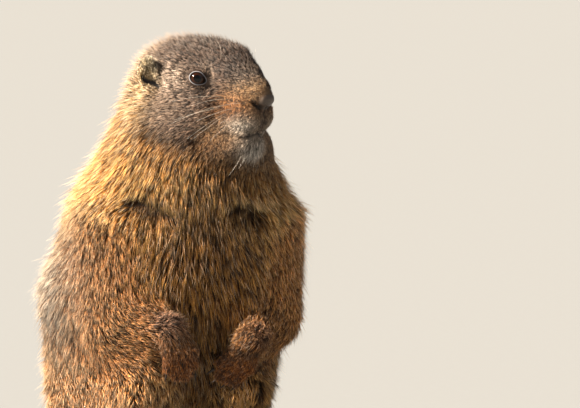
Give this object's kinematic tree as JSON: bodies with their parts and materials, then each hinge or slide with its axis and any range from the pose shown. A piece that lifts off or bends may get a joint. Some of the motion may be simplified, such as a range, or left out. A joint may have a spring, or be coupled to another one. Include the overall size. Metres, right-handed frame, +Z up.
{
  "type": "yellow-bellied marmot",
  "caption": "Life-size still model of a marmot sitting upright on its haunches, forepaws hanging before the belly, head turned to its left, tail laid on the floor.",
  "frame": {"origin": "on the floor, under the middle of the animal's bounding box", "axes": "+Z up from the floor, -Y the way the body faces, +X the animal's left"},
  "size_m": [0.1852, 0.3456, 0.2865],
  "materials": {
    "coat_body": "long guard hair over dense underfur, grizzled",
    "coat_neck": "long guard hair, golden orange",
    "coat_head": "short dense hair, grey brown",
    "coat_muzzle": "very short hair, buff",
    "coat_ear": "fine short hair, buff",
    "coat_foreleg": "dense hair, reddish brown",
    "coat_hindleg": "long guard hair, ochre",
    "coat_paw": "very short hair over bare skin",
    "coat_tail": "long bushy hair, dark brown",
    "nose": "bare fine-grained skin, slightly moist",
    "eye": "clear wet gloss over a dark brown iris",
    "claw": "horn, semi-gloss"
  },
  "bodies": {
    "root": {"claw_fore_left_1": "claw", "claw_fore_left_2": "claw", "claw_fore_left_3": "claw", "claw_fore_left_4": "claw", "claw_fore_right_1": "claw", "claw_fore_right_2": "claw", "claw_fore_right_3": "claw", "claw_fore_right_4": "claw", "claw_hind_left_1": "claw", "claw_hind_left_2": "claw", "claw_hind_left_3": "claw", "claw_hind_left_4": "claw", "claw_hind_left_5": "claw", "claw_hind_right_1": "claw", "claw_hind_right_2": "claw", "claw_hind_right_3": "claw", "claw_hind_right_4": "claw", "claw_hind_right_5": "claw", "ear_left": "coat_ear", "ear_right": "coat_ear", "eye_left": "eye", "eye_right": "eye", "foreleg_left": "coat_foreleg", "foreleg_right": "coat_foreleg", "forepaw_left": "coat_paw", "forepaw_right": "coat_paw", "head": "coat_head", "hindfoot_left": "coat_paw", "hindfoot_right": "coat_paw", "hindleg_left": "coat_hindleg", "hindleg_right": "coat_hindleg", "muzzle": "coat_muzzle", "neck": "coat_neck", "nose": "nose", "tail": "coat_tail", "trunk": "coat_body"}
  },
  "joints": []
}
